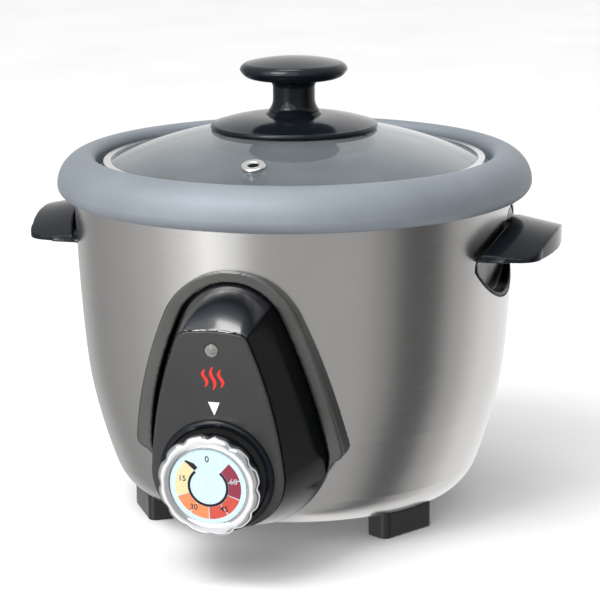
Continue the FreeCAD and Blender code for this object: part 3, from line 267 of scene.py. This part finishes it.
def moulded_plastic(name, dark, light, roughness, grain=0.010, **constants):
    """Moulded plastic: faint flow marks in its colour, handling marks, and a grain in mm."""
    finish = Finish(name, **constants)
    finish.two_tone(finish.noise(28, detail=4.0), dark, light)
    finish.vary("Roughness", finish.noise(60, detail=5.0), *roughness)
    return finish.bump(finish.noise(420, detail=2.0), grain * MM)


def black_gloss():
    """Glossy blue-black plastic of the knob, the grips, the inlet and the dial's collar."""
    return moulded_plastic("black_gloss", dark=(0.004, 0.0055, 0.008),
                           light=(0.008, 0.0105, 0.015), roughness=(0.10, 0.17),
                           Specular_IOR_Level=0.26)


def lit_ramp_black():
    """Painted highlight: a slightly lighter, far more reflective copy of the black plastic, for the upper side of
    the panel's housing.
    """
    return moulded_plastic("lit_ramp_black", dark=(0.005, 0.006, 0.008),
                           light=(0.009, 0.011, 0.014), roughness=(0.12, 0.20),
                           Specular_IOR_Level=0.8, Coat_Weight=1.0, Coat_Roughness=0.10)


def shaded_black():
    """Painted shade: a darker, barely reflective copy of the black plastic, for the housing's flanks and the
    grips' pockets.
    """
    return moulded_plastic("shaded_black", dark=(0.0025, 0.003, 0.0035),
                           light=(0.005, 0.0055, 0.006), roughness=(0.14, 0.22),
                           Specular_IOR_Level=0.07)


def foot_plastic():
    """Black plastic of the feet, a little duller than the grips."""
    return moulded_plastic("foot_plastic", dark=(0.008, 0.009, 0.010),
                           light=(0.018, 0.019, 0.021), roughness=(0.24, 0.36), grain=0.02,
                           Coat_Weight=0.2, Coat_Roughness=0.2)


def frame_grey():
    """Metallic grey paint with fine flake."""
    finish = moulded_plastic("frame_grey", dark=(0.080, 0.079, 0.077),
                             light=(0.110, 0.108, 0.105), roughness=(0.20, 0.28),
                             Metallic=0.75, Coat_Weight=0.3, Coat_Roughness=0.08)
    return finish.bump(finish.cells(3800.0, "Distance"), 0.012 * MM)


def face_grey():
    """Dark grey lacquer on the panel's face."""
    finish = moulded_plastic("face_grey", dark=(0.030, 0.031, 0.030),
                             light=(0.040, 0.041, 0.039), roughness=(0.22, 0.30),
                             Specular_IOR_Level=0.25, Coat_Weight=0.1, Coat_Roughness=0.10)
    return finish.bump(finish.cells(4200.0, "Distance"), 0.006 * MM)


def dial_chrome():
    """Bright plating with faint polishing swirls."""
    finish = Finish("dial_chrome", Metallic=1.0)
    swirl = finish.noise(90, detail=5.0)
    finish.two_tone(swirl, (0.74, 0.75, 0.77), (0.84, 0.85, 0.86))
    finish.vary("Roughness", swirl, 0.06, 0.14)
    return finish.bump(finish.noise(300, detail=2.0), 0.006 * MM)


def ink(name, colour, gloss=0.38):
    """Screen-printed ink: slightly uneven cover."""
    thin_cover, roughness_spread = 0.86, 0.12
    finish = Finish(name, Specular_IOR_Level=0.3)
    cover = finish.noise(1500)
    finish.two_tone(cover, [thin_cover * part for part in colour], colour)
    return finish.vary("Roughness", cover, gloss, gloss + roughness_spread)


def dial_print():
    """The pale printed ground of the dial's disc."""
    finish = Finish("dial_print", Specular_IOR_Level=0.3)
    grain = finish.noise(700)
    finish.two_tone(grain, (0.47, 0.60, 0.66), (0.53, 0.66, 0.71))
    return finish.vary("Roughness", grain, 0.25, 0.36)


def cast_aluminium():
    """Cast aluminium with turning marks and a cast grain."""
    finish = turned_metal("cast_aluminium", dark=(0.50, 0.50, 0.51), light=(0.72, 0.72, 0.73),
                          roughness=(0.32, 0.48), lines=900, depth=0.03)
    return finish.bump(finish.noise(500, detail=4.0), 0.05 * MM)


def plated_steel():
    """Zinc plating with a soft spangle."""
    finish = Finish("plated_steel", Metallic=1.0)
    tone = finish.add("SeparateColor", {0: finish.cells(160.0, "Color")}).outputs[0]
    finish.colour(tone, (0.0, (0.50, 0.51, 0.51)), (1.0, (0.66, 0.665, 0.66)))
    finish.vary("Roughness", finish.noise(80, detail=4.0), 0.30, 0.45)
    return finish.bump(finish.noise(900, detail=2.0), 0.008 * MM)


def ceramic():
    """Glazed ceramic with fine specks."""
    finish = Finish("ceramic", Coat_Weight=0.6, Coat_Roughness=0.1)
    specks = finish.noise(900, detail=4.0)
    finish.colour(specks, (0.28, (0.62, 0.58, 0.50)), (0.45, (0.82, 0.79, 0.72)),
                  (0.7, (0.88, 0.86, 0.80)))
    return finish.vary("Roughness", specks, 0.25, 0.4).bump(specks, 0.02 * MM)


def silicone():
    """Red silicone rubber with a little dust."""
    finish = Finish("silicone", Subsurface_Weight=0.1)
    dust = finish.noise(400, detail=4.0)
    finish.two_tone(dust, (0.42, 0.09, 0.06), (0.55, 0.13, 0.09))
    return finish.vary("Roughness", dust, 0.5, 0.7).bump(dust, 0.02 * MM)


def brass():
    """Brass with a light tarnish."""
    finish = Finish("brass", Metallic=1.0)
    tarnish = finish.noise(180, detail=5.0)
    finish.two_tone(tarnish, (0.52, 0.37, 0.16), (0.74, 0.57, 0.29))
    return finish.vary("Roughness", tarnish, 0.22, 0.42).bump(tarnish, 0.01 * MM)


def spring_steel():
    """Drawn spring wire."""
    finish = Finish("spring_steel", Metallic=1.0)
    drawn = finish.noise(1.0, vector=finish.stretched(500, 500, 3000))
    finish.two_tone(drawn, (0.34, 0.34, 0.35), (0.52, 0.52, 0.53))
    return finish.vary("Roughness", drawn, 0.25, 0.4).bump(drawn, 0.005 * MM)


def wire_jacket():
    """Woven glass-fibre sleeve."""
    finish = Finish("wire_jacket", Sheen_Weight=0.3)
    weave = finish.add("TexMagic", {"Vector": finish.spot(), "Scale": 900.0,
                                    "Distortion": 1.0}, turbulence_depth=1).outputs["Fac"]
    finish.colour(weave, (0.2, (0.55, 0.54, 0.50)), (0.8, (0.80, 0.79, 0.75)))
    return finish.vary("Roughness", weave, 0.6, 0.8).bump(weave, 0.08 * MM)


def timer_plastic():
    """Dull grey plastic of the timer's case."""
    return moulded_plastic("timer_plastic", dark=(0.20, 0.20, 0.185),
                           light=(0.27, 0.27, 0.25), roughness=(0.42, 0.56), grain=0.05)


def floor_paper():
    """Pale studio paper."""
    finish = Finish("floor_paper", Specular_IOR_Level=0.2)
    fibre = finish.noise(6.0, detail=6.0)
    finish.two_tone(fibre, (0.86, 0.86, 0.86), (0.90, 0.90, 0.90))
    return finish.vary("Roughness", fibre, 0.75, 0.9)


# Each function is named after the record's slot that it gives a finish to.
SLOT_FINISHES = (
    shell_steel, pot_coating, lid_glass, lid_steel, black_gloss, frame_grey, face_grey,
    dial_chrome, dial_print, lamp_lens, cast_aluminium, plated_steel, ceramic, silicone, brass,
    spring_steel, wire_jacket, timer_plastic,
)
MATERIALS = {make.__name__: make().material for make in SLOT_FINISHES}
FOOT_BLACK = foot_plastic().material
# The darker copy of the black plastic: painted shade.
SHADED_BLACK = shaded_black().material
# The lighter, more reflective copy of the black plastic: painted highlight.
LIT_TOP_BLACK = lit_ramp_black().material


def paint(thing, material):
    thing.data.materials.clear()
    thing.data.materials.append(material)


def paint_nodes():
    """Give every CAD node the finish of its slot."""
    for part in frame["record"]["subparts"]:
        paint(frame["nodes"][part["node"]], MATERIALS[part["material_slot"]])


# ---------------------------------------------------------------- building helpers
def body_of(node):
    for body, members in frame["record"]["behaviour"]["bodies"].items():
        if node in members:
            return body
    raise KeyError(node)


def add_piece(name, mesh, body, material, slot, *nodes):
    """Put a mesh in the scene as a piece that rides on a body and may stand for CAD nodes."""
    piece = bpy.data.objects.new(name, mesh)
    scene.collection.objects.link(piece)
    paint(piece, material)
    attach(piece, body)
    if nodes:
        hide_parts(*nodes)
    return piece


def applied(thing):
    """The mesh of an object with its modifiers applied; the object is removed."""
    graph = bpy.context.evaluated_depsgraph_get()
    mesh = bpy.data.meshes.new_from_object(thing.evaluated_get(graph))
    bpy.data.objects.remove(thing)
    return mesh


def mesh_of(name, points, faces, sharp_from=None):
    """A mesh from points and faces, smooth but for edges from that many degrees up."""
    mesh = bpy.data.meshes.new(name)
    mesh.from_pydata([tuple(point) for point in points], [], faces)
    mesh.update()
    if sharp_from is not None:
        mesh.shade_smooth()
        mesh.set_sharp_from_angle(angle=math.radians(sharp_from))
    return mesh


# ---------------------------------------------------------------- mouldings
# Each moulded piece: its name, CAD node, slot, remesh step in mm and rounds of smoothing.
MOULDINGS = (
    ("right_grip", "right_handle", "black_gloss", 0.55, 9),
    ("left_grip", "left_handle", "black_gloss", 0.55, 9),
    ("panel_arch", "panel_frame", "frame_grey", 0.6, 6),
    ("panel_body", "panel_housing", "black_gloss", 0.7, 3),
    ("panel_plate", "panel_face", "face_grey", 0.45, 2),
    ("inlet_hood", "power_inlet", "black_gloss", 0.6, 5),
    ("rubber_foot_front_right", "foot_front_right", "black_gloss", 0.6, 6),
    ("rubber_foot_front_left", "foot_front_left", "black_gloss", 0.6, 6),
    ("rubber_foot_rear", "foot_rear", "black_gloss", 0.6, 6),
)
POCKET_DROP = 24 * MM      # from the top of a grip to the pocket under it, which is painted darker as shade
LIT_TOP_SLOPE = 0.62      # the housing takes the lit copy, a painted highlight, where its normal's Z is above this


def moulded(name, node, slot, step, rounds):
    """A piece with a CAD node's own shape and the soft edges of a moulding."""
    blank = bpy.data.objects.new("blank", frame["nodes"][node].data.copy())
    scene.collection.objects.link(blank)
    remesh = blank.modifiers.new("remesh", "REMESH")
    remesh.mode = "VOXEL"
    remesh.voxel_size = step * MM
    remesh.use_smooth_shade = True
    soften = blank.modifiers.new("soften", "SMOOTH")
    soften.factor = 0.5
    soften.iterations = rounds
    return add_piece(name, applied(blank), body_of(node), MATERIALS[slot], slot, node)


def second_finish(piece, material, chosen):
    """Give the polygons that a test picks out a second material."""
    piece.data.materials.append(material)
    for polygon in piece.data.polygons:
        polygon.material_index = int(chosen(polygon))


def lies_below(height):
    return lambda polygon: polygon.center.z < height


def faces_up(slope):
    return lambda polygon: polygon.normal.z > slope


def make_mouldings():
    """Moulded pieces get the rounded edges that they leave the tool with."""
    pieces = {row[0]: moulded(*row) for row in MOULDINGS}
    for side in ("right", "left"):
        pocket_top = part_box(side + "_handle")[1].z - POCKET_DROP
        # Below the pocket's top each grip takes the darker copy: painted shade under the grip.
        second_finish(pieces[side + "_grip"], SHADED_BLACK, lies_below(pocket_top))
    # The housing's flanks take the darker copy: painted shade.
    paint(pieces["panel_body"], SHADED_BLACK)
    # Up-facing polygons take the lit copy: painted highlight on the ramp.
    second_finish(pieces["panel_body"], LIT_TOP_BLACK, faces_up(LIT_TOP_SLOPE))
    for place in ("front_right", "front_left", "rear"):
        paint(pieces["rubber_foot_" + place], FOOT_BLACK)


# ---------------------------------------------------------------- dial
def dial_spot():
    """Matrix of the dial's own axes: X right, Y up the face, Z out of it, 0 at the face."""
    joint = next(j for j in frame["joints"] if j["name"] == "dial_turn")
    out = -Vector(joint["axis"])
    right = Vector((1, 0, 0))
    turn = Matrix((right, out.cross(right), out)).transposed().to_4x4()
    return Matrix.Translation(joint["pos_m"]) @ turn


DIAL = dial_spot()


def dial_size(node):
    """Greatest radius and the lowest and highest place along the dial's axis, of a node."""
    inside = DIAL.inverted()
    points = [inside @ vertex.co for vertex in frame["nodes"][node].data.vertices]
    radii = [math.hypot(point.x, point.y) for point in points]
    heights = [point.z for point in points]
    return max(radii), min(heights), max(heights)


def clock(radius, angle):
    """A point of the face at a radius; the angle runs clockwise from the top, in degrees."""
    return radius * math.sin(math.radians(angle)), radius * math.cos(math.radians(angle))


def sector(inner, outer, start, stop, steps=24):
    """Outline of part of a ring between two clockwise angles."""
    angles = [start + (stop - start) * step / steps for step in range(steps + 1)]
    return ([clock(inner, angle) for angle in angles]
            + [clock(outer, angle) for angle in angles[::-1]])


def flat_piece(name, outline, low, high, body, material, *nodes):
    """A thin solid with that outline in the dial's axes, between two heights."""
    count = len(outline)
    points = [DIAL @ Vector((x, y, z)) for z in (low, high) for x, y in outline]
    sides = [(i, (i + 1) % count, count + (i + 1) % count, count + i) for i in range(count)]
    faces = [tuple(reversed(range(count))), tuple(range(count, 2 * count))] + sides
    return add_piece(name, mesh_of(name, points, faces), body, material, "dial_print", *nodes)


def number_piece(text, x, y, height, low, material):
    """A printed number on the dial, upright when the dial is at rest."""
    curve = bpy.data.curves.new("number_" + text, "FONT")
    curve.body = text
    curve.size = height
    curve.align_x = "CENTER"
    curve.align_y = "CENTER"
    curve.extrude = 0.02 * MM
    curve.offset = 0.03 * MM
    letters = bpy.data.objects.new("letters", curve)
    scene.collection.objects.link(letters)
    bpy.context.view_layer.update()
    mesh = applied(letters)
    mesh.transform(DIAL @ Matrix.Translation((x, y, low)))
    return add_piece("dial_number_" + text, mesh, "dial", material, "dial_print")


def ring_section(inner, edge, low, front, lip):
    """Half section of the dial's ring, as (radius, height) points."""
    corner, corner_steps = 2.6 * MM, 8
    heel, heel_round = 1.6 * MM, 0.5 * MM
    section = [(inner + 0.2 * MM, low), (edge - heel, low),
               (edge - heel_round, low + heel_round), (edge, low + heel)]
    for step in range(corner_steps + 1):
        angle = math.radians(90 * step / corner_steps)
        section.append((edge - corner + corner * math.cos(angle),
                        front - corner + corner * math.sin(angle)))
    # The lip runs level, then drops to the disc inside it.
    return section + [(inner + lip + 0.3 * MM, front), (inner + lip - 0.2 * MM, front - 0.25 * MM),
                      (inner + 0.1 * MM, front - 1.0 * MM), (inner, front - 1.25 * MM)]


def make_dial_ring():
    """The scalloped bright ring round the dial."""
    scallops, notch_depth, notch_sharpness = 12, 1.25 * MM, 3
    turns, lip, sharp_from = 360, 1.3 * MM, 40
    edge, low, front = dial_size("dial_ring")
    inner = dial_size("dial_label")[0]
    section = ring_section(inner, edge, low, front, lip)
    points, faces = [], []
    for turn in range(turns):
        angle = 2 * math.pi * turn / turns
        wave = 0.5 + 0.5 * math.cos(scallops * angle)
        notch = notch_depth * wave ** notch_sharpness
        for radius, height in section:
            share = max(0.0, (radius - inner - lip) / (edge - inner - lip))
            reach = radius - notch * share ** 2
            points.append(DIAL @ Vector((reach * math.sin(angle), reach * math.cos(angle),
                                         height)))
    count = len(section)
    for turn in range(turns):
        here, after = turn * count, (turn + 1) % turns * count
        for i in range(count):
            j = (i + 1) % count
            faces.append((here + i, after + i, after + j, here + j))
    mesh = mesh_of("dial_bezel", points, faces, sharp_from)
    add_piece("dial_bezel", mesh, "dial", MATERIALS["dial_chrome"], "dial_chrome", "dial_ring")


CELL_INKS = (("yellow", (0.78, 0.60, 0.33)), ("orange", (0.80, 0.24, 0.10)),
             ("red", (0.55, 0.075, 0.05)), ("maroon", (0.25, 0.03, 0.055)))
CELLS_PER_INK = 2
MOUTH = 40.0                              # half of the keyhole's open top, in degrees
CELL_SPAN = (360 - 2 * MOUTH) / (CELLS_PER_INK * len(CELL_INKS))
HUB, LINE = 9.0 * MM, 1.3 * MM            # the keyhole's radius and the width of its line


def make_dial_print():
    """The dial's disc with its keyhole outline, eight coloured cells and plain minutes."""
    radius, low, top = dial_size("dial_label")
    disc_steps, line_steps = 96, 72
    disc = [(radius * math.sin(2 * math.pi * i / disc_steps),
             radius * math.cos(2 * math.pi * i / disc_steps)) for i in range(disc_steps)]
    flat_piece("dial_disc", disc, low, top, "dial", MATERIALS["dial_print"], "dial_label")
    ink_low, ink_high, number_low = top + 0.01 * MM, top + 0.05 * MM, top + 0.08 * MM
    black = ink("ink_black", (0.012, 0.012, 0.014)).material
    flat_piece("dial_line", sector(HUB, HUB + LINE, MOUTH, 360 - MOUTH, line_steps), ink_low,
               ink_high, "dial", black)
    shadow = [(-4.9 * MM, 9.6 * MM), (-6.4 * MM, 8.0 * MM), (-11.6 * MM, 12.6 * MM),
              (-10.4 * MM, 13.0 * MM), (-6.6 * MM, 11.6 * MM)]
    flat_piece("dial_shadow", shadow[::-1], ink_low, ink_high, "dial", black)
    make_dial_cells(ink_low, ink_high)
    make_dial_numbers(number_low, black)


def make_dial_cells(low, high):
    """The coloured cells, anticlockwise from the keyhole's mouth."""
    inner, outer, gap = HUB + LINE + 0.1 * MM, 16.6 * MM, 0.9
    start = 360 - MOUTH
    for name, colour in CELL_INKS:
        cover = ink("ink_" + name, colour).material
        for place in range(1, CELLS_PER_INK + 1):
            start -= CELL_SPAN
            cell = sector(inner, outer, start + gap, start + CELL_SPAN - gap)
            flat_piece(f"dial_cell_{name}_{place}", cell, low, high, "dial", cover)


def make_dial_numbers(low, black):
    """0 in the keyhole's mouth, and the minutes over the cells of each colour."""
    zero_radius, zero_height = 14.2 * MM, 4.4 * MM
    middle, height = 13.4 * MM, 4.0 * MM
    pale = ink("ink_pale", (0.42, 0.46, 0.52)).material
    number_piece("0", 0, zero_radius, zero_height, low, black)
    minutes = (("15", black), ("30", black), ("45", black), ("60", pale))
    for index, (text, tone) in enumerate(minutes):
        angle = 360 - MOUTH - CELL_SPAN * (CELLS_PER_INK * index + 1)
        number_piece(text, *clock(middle, angle), height, low, tone)


# ---------------------------------------------------------------- panel
def make_panel_marks():
    """The pointer over the dial and a plain mark of three rising wisps of steam."""
    white = ink("ink_white", (0.86, 0.86, 0.85), gloss=0.3).material
    red = ink("ink_red", (0.72, 0.028, 0.022), gloss=0.3).material
    low, high = 0.01 * MM, 0.09 * MM
    tip, top, half, tip_half = 31.6 * MM, 38.0 * MM, 2.9 * MM, 0.25 * MM
    pointer = [(-half, top), (-tip_half, tip), (tip_half, tip), (half, top)]
    flat_piece("dial_pointer", pointer, low, high, "root", white)
    middle, tall, pitch = 50.2 * MM, 11.5 * MM, 4.0 * MM
    for index, (x, height) in enumerate(((-pitch, 0.78 * tall), (0.0, tall),
                                         (pitch, 0.78 * tall))):
        flat_piece(f"steam_mark_{index + 1}", wisp(x, middle, height), low, high, "root", red)


def wisp(x, middle, height):
    """Outline of one S-shaped wisp of steam, widest in its middle."""
    swing, thick, tip_share, steps = 1.0 * MM, 0.95 * MM, 0.35, 24
    left, right = [], []
    for step in range(steps + 1):
        share = step / steps
        sway = x + swing * math.sin(2 * math.pi * share)
        width = thick * (tip_share + (1 - tip_share) * math.sin(math.pi * share))
        y = middle + height * (share - 0.5)
        left.append((sway - width, y))
        right.append((sway + width, y))
    return right + left[::-1]


# ---------------------------------------------------------------- studio
# Softboxes: name, azimuth and elevation in degrees, distance, width, height and radiance.
SOFTBOXES = (
    ("overhead", -140, 78, 1.3, 0.45, 0.40, 5.0),
    ("front", -28, 54, 1.5, 0.62, 0.62, 9.0),
    ("key", -22, 18, 1.6, 0.40, 0.9, 2.2),
)
FILL_STRENGTH, FILL_SPREAD, FILL_FROM = 1.6, 70, (-20, 42, 3)
LIT_MIDDLE = Vector((0, 0, 0.12))
# Brightness of the studio's walls by azimuth, from behind round by the left and the front.
WALLS = ((-180, 1.10), (-140, 0.60), (-115, 0.36), (-90, 0.43), (-64, 0.56), (-44, 0.88),
         (-30, 1.45), (-18, 1.05), (-4, 0.46), (50, 0.48), (64, 0.34), (76, 0.12), (92, 0.12),
         (110, 0.50), (140, 0.95), (180, 1.10))
CEILING = 0.75
CEILING_FROM, CEILING_FULL = 0.35, 0.85     # sines of the elevations where it fades in
WORLD_STRENGTH = 2.0                        # keeps the bands' colours below 1


def make_floor():
    """A wide sheet of pale paper at the level of the feet's soles."""
    size, level = 40.0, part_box("foot_rear")[0].z - 0.05 * MM
    corners = [(-size, -size, level), (size, -size, level), (size, size, level),
               (-size, size, level)]
    mesh = mesh_of("floor", corners, [(0, 1, 2, 3)])
    floor = bpy.data.objects.new("floor", mesh)
    scene.collection.objects.link(floor)
    paint(floor, floor_paper().material)
    floor.visible_glossy = False


def aim(thing, place, target, roll=0.0):
    """Put a light or camera at a place, looking at a target."""
    direction = Vector(target) - Vector(place)
    thing.location = place
    thing.rotation_mode = "QUATERNION"
    turn = Matrix.Rotation(roll, 3, "Z").to_quaternion()
    thing.rotation_quaternion = direction.to_track_quat("-Z", "Y") @ turn


def around(azimuth, elevation, distance):
    """A point round the object; azimuth 0 is in front of the panel, 90 on the +X side."""
    a, e = math.radians(azimuth), math.radians(elevation)
    return Vector((math.sin(a) * math.cos(e), -math.cos(a) * math.cos(e), math.sin(e))) * distance


def softbox(name, azimuth, elevation, distance, width, height, radiance):
    """A rectangular soft light that never shows in the picture itself."""
    data = bpy.data.lights.new(name, "AREA")
    data.shape = "RECTANGLE"
    data.size, data.size_y = width, height
    data.energy = radiance * math.pi * width * height
    light = bpy.data.objects.new(name, data)
    scene.collection.objects.link(light)
    aim(light, LIT_MIDDLE + around(azimuth, elevation, distance), LIT_MIDDLE)
    light.visible_camera = False


def make_lights():
    """The softboxes, and a very soft sun that fills from the front."""
    for row in SOFTBOXES:
        softbox(*row)
    data = bpy.data.lights.new("fill", "SUN")
    data.energy = FILL_STRENGTH
    data.angle = math.radians(FILL_SPREAD)
    fill = bpy.data.objects.new("fill", data)
    scene.collection.objects.link(fill)
    aim(fill, around(*FILL_FROM), (0, 0, 0))


def make_world():
    """The studio's walls and ceiling, as soft bands of light."""
    def grey(level):
        return (level / WORLD_STRENGTH,) * 3

    world = bpy.data.worlds.new("studio")
    scene.world = world
    world.use_nodes = True
    graph = Graph(world.node_tree)
    split = graph.add("SeparateXYZ", {0: graph.add("TexCoord").outputs["Generated"]})
    front = graph.maths("MULTIPLY", split.outputs["Y"], -1)
    angle = graph.maths("ARCTAN2", split.outputs["X"], front)
    turn = graph.add("MapRange", {"Value": angle, "From Min": -math.pi, "From Max": math.pi})
    bands = [((azimuth + 180) / 360, grey(level)) for azimuth, level in WALLS]
    walls = graph.ramp(turn.outputs[0], *bands, interpolation="EASE")
    rise = graph.add("MapRange", {"Value": split.outputs["Z"], "From Min": CEILING_FROM,
                                  "From Max": CEILING_FULL}, interpolation_type="SMOOTHSTEP")
    light = graph.mix(rise.outputs[0], walls, (*grey(CEILING), 1))
    background = graph.tree.nodes["Background"]
    background.inputs["Strength"].default_value = WORLD_STRENGTH
    graph.tree.links.new(light, background.inputs["Color"])


def make_camera():
    """The camera stands a little to the right of the panel and above the lid."""
    lens, roll = 145.44, -0.48
    azimuth, elevation, distance = 15.63, 13.13, 1.3
    target = Vector((2.2, 0.6, 110.0)) * MM
    data = bpy.data.cameras.new("camera")
    data.lens = lens
    camera = bpy.data.objects.new("camera", data)
    scene.collection.objects.link(camera)
    aim(camera, target + around(azimuth, elevation, distance), target, math.radians(roll))
    scene.camera = camera


# ---------------------------------------------------------------- all of it
make_camera()
paint_nodes()
make_mouldings()
make_dial_ring()
make_dial_print()
make_panel_marks()
make_floor()
make_lights()
make_world()
scene.view_settings.view_transform = "Standard"
